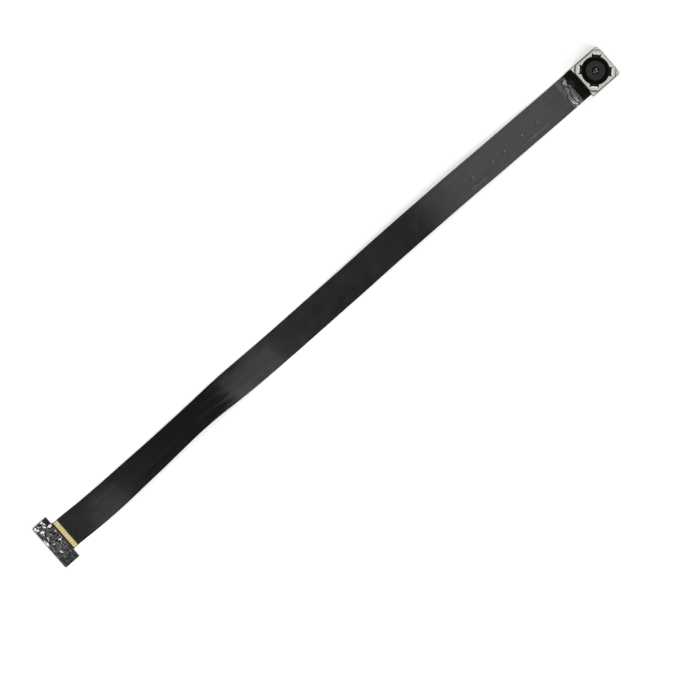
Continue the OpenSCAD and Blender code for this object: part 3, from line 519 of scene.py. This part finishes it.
def wet_adhesive():
    """Glossy black bead with fine wrinkles."""
    f = Finish("wet_adhesive", (0.004, 0.004, 0.004), 0.16, specular=1.0)
    f.tint(f.between(f.cloud(1600, 4), 0.45, 0.7, 0.0, 0.6), (0.018, 0.0175, 0.016))
    f.shine(f.cloud(1900, 5, 0.6, 0.5), 0.12, 0.3)
    f.set("Coat Weight", 1.0)
    f.set("Coat Roughness", 0.12)
    f.bump(f.cloud(1, 4, 0.6, 0.8, vector=f.stretched((2200, 1000, 1500))), 0.00001, 0.5)
    f.bump(f.cloud(7000, 4), 0.000004, 0.4)
    return f.material


def clear_drop():
    """Dots of adhesive on the barrel, dulled."""
    f = Finish("clear_drop", (0.055, 0.052, 0.046), 0.3)
    f.shine(f.cloud(3000, 3), 0.2, 0.45)
    f.bump(f.cloud(5000, 3), 0.00001, 0.5)
    return f.material


def crumpled_tape():
    """Glossy film tape with a cool sheen and sharp crumples."""
    f = Finish("crumpled_tape", (0.006, 0.006, 0.0075), 0.16, specular=1.0)
    f.tint(f.between(f.cloud(700, 4, 0.6, 0.6), 0.42, 0.66), (0.015, 0.015, 0.018))
    f.shine(f.cloud(1100, 5, 0.6, 0.6), 0.1, 0.22)
    f.set("Coat Weight", 1.0)
    f.set("Coat Roughness", 0.08)
    f.bump(f.cloud(2600, 5, 0.6, 1.0), 0.000015, 0.5)
    return f.material


def strip_gold():
    """Gold of the bare strip: pale and matte, brown with flux along both long edges."""
    f = Finish("strip_gold", (0.95, 0.84, 0.44), 0.5, 0.15)
    f.tint(f.between(f.cloud(2400, 4), 0.45, 0.75, 0.0, 0.5), (0.80, 0.64, 0.24))
    place = f.along("X")
    f.tint(f.between(place, *FLUX_BY_FILM), FLUX_BROWN)
    f.tint(f.between(place, *FLUX_BY_TONGUE), FLUX_BROWN)
    f.bump(f.cloud(9000, 3), 0.000003, 0.5)
    return f.material


FINISHES = {
    "stamped_steel": stamped_nickel,
    "back_steel": plate_steel,
    "black_film": satin_film,
    "amber_core": amber_sheet,
    "board": board_mask,
    "housing_plastic": moulded_black("housing_plastic_black"),
    "carrier_plastic": moulded_black(
        "carrier_plastic_black", (0.005, 0.005, 0.0048), 0.45, 0.6, specular=0.12
    ),
    "barrel_plastic": barrel_black,
    "silicon": polished_silicon,
    "gold": pale_gold,
    "spring_alloy": spring_bronze_painted_shade,
    "copper_wire": enamelled_copper,
    "magnet_nickel": nickel_plated,
    "ceramic_chip": fired_ceramic,
    "chip_package": moulded_black("package_black", (0.018, 0.018, 0.019), 0.5, 0.7, 8000),
    "solder": tinned_solder,
    "filter_glass": coated_glass("filter_glass_coated", (0.45, 0.72, 0.75), (0.55, 0.12, 0.16)),
    "lens_resin": coated_glass("lens_resin_coated", (0.55, 0.58, 0.58), (0.22, 0.16, 0.34)),
    "potting": cured_potting,
    "bead_adhesive": wet_adhesive,
    "clear_adhesive": clear_drop,
    "glossy_tape": crumpled_tape,
}
made = {name: build() for name, build in FINISHES.items()}
made["traced_film"] = traced_film()
made["strip_gold"] = strip_gold()
made["front_glass"] = front_glass()


def dress_solids():
    """Every solid gets the finish of its slot."""
    for row in frame["record"]["subparts"]:
        solid = frame["nodes"][row["node"]]
        for place in solid.material_slots:
            place.material = made[row["material_slot"]]
        if not solid.material_slots:
            solid.data.materials.append(made[row["material_slot"]])


dress_solids()
frame["nodes"]["exposed_traces"].material_slots[0].material = made["strip_gold"]


def finished(name, mesh, material, body="module", crease=40):
    """Makes an object of a bmesh, gives it its finish and lets it ride on its body."""
    bmesh.ops.recalc_face_normals(mesh, faces=mesh.faces)
    data = bpy.data.meshes.new(name)
    mesh.to_mesh(data)
    mesh.free()
    for face in data.polygons:
        face.use_smooth = True
    data.set_sharp_from_angle(angle=math.radians(crease))
    piece = bpy.data.objects.new(name, data)
    bpy.context.collection.objects.link(piece)
    data.materials.append(made[material])
    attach(piece, body)
    return piece


def grid_between(across, along):
    """A flat grid over the unit square, with its UV map."""
    mesh = bmesh.new()
    mesh.loops.layers.uv.new("UVMap")
    bmesh.ops.create_grid(mesh, x_segments=along, y_segments=across, size=0.5, calc_uvs=True)
    bmesh.ops.translate(mesh, vec=(0.5, 0.5, 0), verts=mesh.verts)
    return mesh


def close_to(mesh, floor_at):
    """Draws the grid's border down to its floor and closes it. floor_at gives the floor's point."""
    rim = [e for e in mesh.edges if e.is_boundary]
    walls = bmesh.ops.extrude_edge_only(mesh, edges=rim)["geom"]
    for v in [g for g in walls if isinstance(g, bmesh.types.BMVert)]:
        v.co = floor_at(v.co)
    low = [g for g in walls if isinstance(g, bmesh.types.BMEdge) and g.is_boundary]
    bmesh.ops.edgeloop_fill(mesh, edges=low)
    flat = [f for f in mesh.faces if len(f.verts) > 4]
    bmesh.ops.triangulate(mesh, faces=flat)


def poured(name, x0, x1, y0, y1, base, height, along, across, material):
    """A piece with a flat floor whose top is a height above it, given over the unit square."""
    mesh = grid_between(across, along)
    for v in mesh.verts:
        u, w = v.co.x, v.co.y
        v.co = (x0 + (x1 - x0) * u, y0 + (y1 - y0) * w, base + height(u, w))
    close_to(mesh, lambda p: Vector((p.x, p.y, base)))
    return finished(name, mesh, material)


def smooth_hill(value, middle, width):
    """1 at the middle, falling off smoothly on both sides."""
    return math.exp(-(((value - middle) / width) ** 2))


def ribbon(low, high, along, across, first=0.0, ripple=0.0, rise=None):
    """A closed band on the tail's route between two heights above its underside.

    Its UV map counts the route's spans along the tail, and runs from 0 to 1 across it.
    """
    spans = len(ROUTE) - 1
    mesh = grid_between(across, along)
    for v in mesh.verts:
        place, w = first + v.co.x * (spans - first), v.co.y
        wave = ripple * noise.noise(Vector((place * 2.2, w * 3.0, 0.0)))
        v.co = tail_point(place, (w - 0.5) * TAIL_WIDTH, high + wave)
        if rise:
            v.co.z += rise(v.co.x, v.co.y)
    uv = mesh.loops.layers.uv.active
    for face in mesh.faces:
        for loop in face.loops:
            at = loop[uv].uv
            loop[uv].uv = (first + at.x * (spans - first), at.y)
    bmesh.ops.recalc_face_normals(mesh, faces=mesh.faces)
    if sum(face.normal.z for face in mesh.faces) < 0:
        bmesh.ops.reverse_faces(mesh, faces=mesh.faces)
    bmesh.ops.solidify(mesh, geom=mesh.faces[:], thickness=high - low)
    return mesh


def pad_rise(x, y):
    """How far a round pad under the film lifts it."""
    near = min(math.hypot(x - px * MM, y - py * MM) for px, py in PADS)
    return PAD_LIFT / (1 + math.exp(min((near - PAD_RADIUS) / PAD_SLOPE, 50)))


def tail_cover():
    """The tail's upper film, smooth along its route and lifted a little over the round pads."""
    mesh = ribbon(FILM + CORE, FILM + CORE + FILM, 900, 36, ripple=0.012 * MM, rise=pad_rise)
    piece = finished("tail_cover_film", mesh, "traced_film")
    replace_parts(piece, "top_film")
    return piece


def smooth_layer(name, node, low, high, material):
    """A lower layer of the tail: the solid's own head and tongue, and a smooth band between them."""
    mesh = ribbon(low, high, 500, 6, first=1.0)
    solid = bmesh.new()
    solid.from_mesh(frame["nodes"][node].data)
    bmesh.ops.remove_doubles(solid, verts=solid.verts, dist=SNAP)
    starts, ends = tail_point(1, 0, 0).x, tail_point(len(ROUTE) - 1, 0, 0).x
    for x in (starts, ends):
        everything = solid.verts[:] + solid.edges[:] + solid.faces[:]
        bmesh.ops.bisect_plane(solid, geom=everything, dist=SNAP, plane_co=(x, 0, 0), plane_no=(1, 0, 0))
    between = [f for f in solid.faces if starts < f.calc_center_median().x < ends]
    bmesh.ops.delete(solid, geom=between, context="FACES")
    bmesh.ops.holes_fill(solid, edges=[e for e in solid.edges if e.is_boundary], sides=0)
    kept = bpy.data.meshes.new(name + "_ends")
    solid.to_mesh(kept)
    solid.free()
    mesh.from_mesh(kept)
    bpy.data.meshes.remove(kept)
    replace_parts(finished(name, mesh, material), node)


def neck_bead():
    """Glossy bead where the board ends: folds that rise slowly from the head and break off steeply."""
    folds = (
        # Foot and crest along the bead, start and end across it, height of the crest
        (0.02, 0.45, 0.09, 0.38, 0.44),
        (0.10, 0.32, 0.38, 0.52, 0.17),
        (0.20, 0.47, 0.49, 1.0, 0.21),
        (0.55, 0.86, 0.52, 1.0, 0.24),
        (0.42, 0.60, 0.28, 0.48, 0.12),
    )

    def height(u, w):
        drift = noise.noise(Vector((w * 5.5, 2.1, u * 1.5)))
        place = u - 0.045 * math.sin(9 * w + 1.2) - 0.045 * drift
        shift = w + 0.03 * noise.noise(Vector((u * 6, w * 4, 7.7)))
        total = 0.0
        for foot, crest, start, end, rise in folds:
            middle, half = (start + end) / 2, (end - start) / 2
            away = min(1, abs(shift - middle) / half)
            top = crest - 0.3 * (crest - foot) * away ** 3
            slope = max(0, (place - foot) / (top - foot))
            back = max(0, 1 - (place - top) / (0.06 + 0.04 * away))
            shape = slope if place < top else back
            lean = 0.7 + 0.6 * (shift - start) / (end - start)
            total = max(total, rise * lean * shape * (1 - away ** 4))
        lump = noise.fractal(Vector((u * 5, w * 9, 3.1)), 0.6, 2.0, 4)
        fold = noise.ridged_multi_fractal(Vector((u * 5, w * 4, 8.7)), 0.8, 2.1, 3, 0.9, 1.6)
        edge = min(1, 9 * (1 - u)) * min(1, 14 * min(w, 1 - w) + 0.2)
        film = 0.05 * (1 - u) * (1 + 0.4 * lump) + 0.015 * fold * (1 - u)
        return (0.02 + edge * (total + film)) * MM
    piece = poured(
        "wrinkled_bead", BEAD_START, BEAD_END, NECK_Y - BEAD_HALF, NECK_Y + BEAD_HALF,
        TAIL_TOP, height, 130, 220, "bead_adhesive",
    )
    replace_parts(piece, "neck_bead")


def neck_potting():
    """Matte potting over the parts beside the head, climbing the can's wall over its terminals."""
    # Heights in millimetres
    body, climb_up, lumps, hollow = 0.7, 0.8, 0.07, 0.06

    def height(u, w):
        slope = 1 - 0.35 * u ** 3
        ends = 1 - 0.5 * abs(2 * w - 1) ** 16
        dip = hollow * smooth_hill(u, 0.7, 0.2) * smooth_hill(w, 0.36, 0.07)
        lump = noise.fractal(Vector((u * 4, w * 11, 1.3)), 0.55, 2.1, 5)
        climb = climb_up * (1 - u) ** 8
        return ((climb + body * slope * (1 + 0.3 * (1 - u) ** 2)) * ends + lumps * lump - dip) * MM
    piece = poured(
        "lumpy_potting", POTTING_START, POTTING_END, NECK_Y - POTTING_HALF, NECK_Y + POTTING_HALF,
        BOARD_TOP, height, 70, 170, "potting",
    )
    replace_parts(piece, "neck_resin")


def tongue_tape():
    """Crumpled tape: flat facets between sharp folds, which fade across the tongue, and a flat corner."""
    waves = (
        # Direction in degrees, length and height of a fold in millimetres
        (38, 2.1, 0.16), (-47, 1.45, 0.12), (12, 0.95, 0.08), (70, 1.2, 0.07),
    )
    shingles = (
        # Patches that fall towards the outer edge in steps: middle and half size in millimetres
        (4.0, 5.0, 0.5, 1.2), (3.6, 0.85, 1.1, 0.9), (3.0, 2.3, 0.9, 0.5), (1.7, 1.1, 0.55, 1.3),
        (0.6, 2.3, 0.9, 0.45),
    )
    # The steps' direction, slope and length, and how far their edges sway
    fall_way, fall, pitch, sideways = math.radians(28), 0.38, 1.1, 0.18
    # How far the folds wander, and how ragged the patches' edges are
    wander, rag = 0.35, 0.35
    # The flat corner: its sides along and across, and its height with the slope round it
    corner_x, corner_y, corner_high = 1.25, 1.85, 0.12

    def tent(t):
        return 2 * abs(t - math.floor(t + 0.5))

    def height(u, w):
        x, y = u * TONGUE_LENGTH / MM, w * TONGUE_WIDTH / MM
        warp_x = wander * noise.noise(Vector((x * 0.8, y * 0.8, 5.0)))
        warp_y = wander * noise.noise(Vector((x * 0.8, y * 0.8, 11.0)))
        total = 0.0
        for turn, length, high in waves:
            a = math.radians(turn)
            total += high * tent(((x + warp_x) * math.cos(a) + (y + warp_y) * math.sin(a)) / length)
        total *= 1 - 0.8 * max(0, min(1, (w - 0.5) / 0.35))
        ragged = rag * noise.noise(Vector((x * 2.2, y * 2.2, 3.0)))
        near = max(1 - math.hypot((x - px) / rx, (y - py) / ry) for px, py, rx, ry in shingles)
        share = min(1, max(0, 4 * (near + ragged)))
        sway = sideways * noise.noise(Vector((x * 1.1, y * 1.1, 21.0)))
        down = (x * math.cos(fall_way) + y * math.sin(fall_way) + sway) % pitch
        total = total * (1 - share) + share * (0.03 + fall * (pitch - down))
        inside_x = min(1, max(0, (corner_x - x) / corner_high))
        inside_y = min(1, max(0, (corner_y - y) / corner_high))
        island = inside_x * inside_y
        total = total * (1 - island) + corner_high * island
        edge = min(1, min(x, y, TONGUE_LENGTH / MM - x, TONGUE_WIDTH / MM - y) / 0.08 + 0.3)
        return (0.05 + total * edge) * MM
    piece = poured(
        "crinkled_tape", TONGUE_X + TAPE_MARGIN, TONGUE_X + TONGUE_LENGTH - TAPE_MARGIN,
        -TONGUE_WIDTH / 2 + TAPE_MARGIN, TONGUE_WIDTH / 2 - TAPE_MARGIN,
        TONGUE_TOP, height, 130, 360, "glossy_tape",
    )
    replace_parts(piece, "end_tape")


def front_lens():
    """The front element, spun at the solid's own sizes."""
    # The clear part as a share of the rim, and how far its two faces bulge
    clear_share, front_rise, back_rise = 0.57, 0.24 * MM, 0.1 * MM
    steps, turns = 24, 72
    solid = frame["nodes"]["lens_1"].data
    heights = [v.co.z for v in solid.vertices]
    rim = max(math.hypot(v.co.x, v.co.y) for v in solid.vertices)
    bottom, seat = min(heights), max(heights) - front_rise
    clear = clear_share * rim

    def arc(rise):
        ball = (clear ** 2 + rise ** 2) / (2 * rise)
        radii = [clear * k / steps for k in range(steps + 1)]
        return [(r, math.sqrt(ball ** 2 - r ** 2) - ball + rise) for r in radii]
    front = [(r, seat + h) for r, h in arc(front_rise)]
    back = [(r, bottom + h) for r, h in reversed(arc(back_rise))]
    mesh = bmesh.new()
    points = [mesh.verts.new((r, 0, z)) for r, z in front + [(rim, seat), (rim, bottom)] + back]
    edges = [mesh.edges.new(pair) for pair in zip(points, points[1:])]
    bmesh.ops.spin(
        mesh, geom=points + edges, cent=(0, 0, 0), axis=(0, 0, 1), dvec=(0, 0, 0),
        angle=2 * math.pi, steps=turns, use_merge=True, use_duplicate=False,
    )
    bmesh.ops.remove_doubles(mesh, verts=mesh.verts, dist=SNAP)
    piece = finished("front_element", mesh, "front_glass", body="lens_unit", crease=35)
    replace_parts(piece, "lens_1")


cover = tail_cover()
smooth_layer("amber_flex_core", "flex_core", FILM, FILM + CORE, "amber_core")
smooth_layer("tail_under_film", "bottom_film", 0.0, FILM, "black_film")
neck_bead()
neck_potting()
tongue_tape()
front_lens()

line = [tuple(tail_point(k / 4, 0, 0.1 * MM)) for k in range(4 * (len(ROUTE) - 1) + 1)]
tail_length = sum((Vector(b) - Vector(a)).length for a, b in zip(line, line[1:]))
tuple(line[0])


def seen_directly(tree):
    """1 for what is seen straight, mirrored or through glass, and 0 for light that falls on things."""
    path = tree.nodes.new("ShaderNodeLightPath")
    one = tree.nodes.new("ShaderNodeMath")
    two = tree.nodes.new("ShaderNodeMath")
    for add in (one, two):
        add.operation = "ADD"
        add.use_clamp = True
    tree.links.new(path.outputs["Is Camera Ray"], one.inputs[0])
    tree.links.new(path.outputs["Is Glossy Ray"], one.inputs[1])
    tree.links.new(one.outputs[0], two.inputs[0])
    tree.links.new(path.outputs["Is Transmission Ray"], two.inputs[1])
    return two.outputs[0]


def lay_floor():
    """White paper just under the part."""
    radius, drop = 3.5, 0.02 * MM
    mesh = bmesh.new()
    bmesh.ops.create_circle(mesh, cap_ends=True, segments=96, radius=radius)
    bmesh.ops.translate(mesh, vec=Vector(PART_MIDDLE) - Vector((0, 0, drop)), verts=mesh.verts)
    data = bpy.data.meshes.new("paper")
    mesh.to_mesh(data)
    mesh.free()
    floor = bpy.data.objects.new("paper", data)
    bpy.context.collection.objects.link(floor)
    paper = bpy.data.materials.new("white_paper")
    paper.use_nodes = True
    tree = paper.node_tree
    shader = tree.nodes["Principled BSDF"]
    shader.inputs["Base Color"].default_value = (0.86, 0.86, 0.86, 1)
    shader.inputs["Roughness"].default_value = 0.9
    shader.inputs["Specular IOR Level"].default_value = 0.1
    glow = tree.nodes.new("ShaderNodeEmission")
    strength = tree.nodes.new("ShaderNodeMath")
    strength.operation = "MULTIPLY"
    strength.inputs[1].default_value = PAPER_GLOW
    tree.links.new(seen_directly(tree), strength.inputs[0])
    tree.links.new(strength.outputs[0], glow.inputs["Strength"])
    both = tree.nodes.new("ShaderNodeAddShader")
    tree.links.new(shader.outputs[0], both.inputs[0])
    tree.links.new(glow.outputs[0], both.inputs[1])
    tree.links.new(both.outputs[0], tree.nodes["Material Output"].inputs["Surface"])
    data.materials.append(paper)


def hang_light(name, place, aim, size, power):
    """A rectangular lamp that faces a spot."""
    data = bpy.data.lights.new(name, "AREA")
    data.shape = "RECTANGLE"
    data.size, data.size_y = size
    data.energy = power
    lamp = bpy.data.objects.new(name, data)
    bpy.context.collection.objects.link(lamp)
    lamp.location = place
    lamp.rotation_euler = (Vector(aim) - Vector(place)).to_track_quat("-Z", "Y").to_euler()


def light_studio():
    """A dim room, a wide panel over the head's side, a smaller one past the tongue, and side lamps.

    The side lamps stand between the directions that the can's eight rims and the rolled tail mirror.
    """
    world = bpy.data.worlds.new("studio")
    bpy.context.scene.world = world
    world.use_nodes = True
    back = world.node_tree.nodes["Background"]
    back.inputs["Color"].default_value = (1.0, 1.0, 1.0, 1)
    back.inputs["Strength"].default_value = 0.09
    # A panel faces straight down, but for a hair that keeps its sides in line with the tail
    hair = 0.0001
    panels = (
        # Name, place, sides along and across the tail in metres, watts
        ("panel_over_head", (-0.975, -0.075, 2.0), (1.05, 2.15), 6.8),
        ("panel_near_side", (-0.2, 0.45, 2.0), (0.5, 1.1), 1.7),
        ("panel_far_side", (-0.2, -0.625, 2.0), (0.5, 1.05), 0.9),
        ("panel_past_tongue", (0.87, -0.1, 2.0), (0.86, 1.4), 2.3),
    )
    for name, place, size, power in panels:
        hang_light(name, place, (place[0], place[1] - hair, 0), size, power)
    softboxes = (
        # Name, place, the spot that it faces, width and height in metres, watts
        ("softbox_head_side", (-1.37, -0.5, 1.45), (0, 0, 0), (0.55, 0.85), 12),
        ("softbox_near_side", (-0.48, 1.39, 1.45), PART_MIDDLE, (0.6, 0.9), 13.5),
        ("softbox_tongue_side", (1.5, 0.6, 1.45), PART_MIDDLE, (0.6, 0.9), 13),
    )
    for name, place, aim, size, power in softboxes:
        hang_light(name, place, aim, size, power)


lay_floor()
light_studio()
bpy.context.scene.view_settings.view_transform = "Standard"
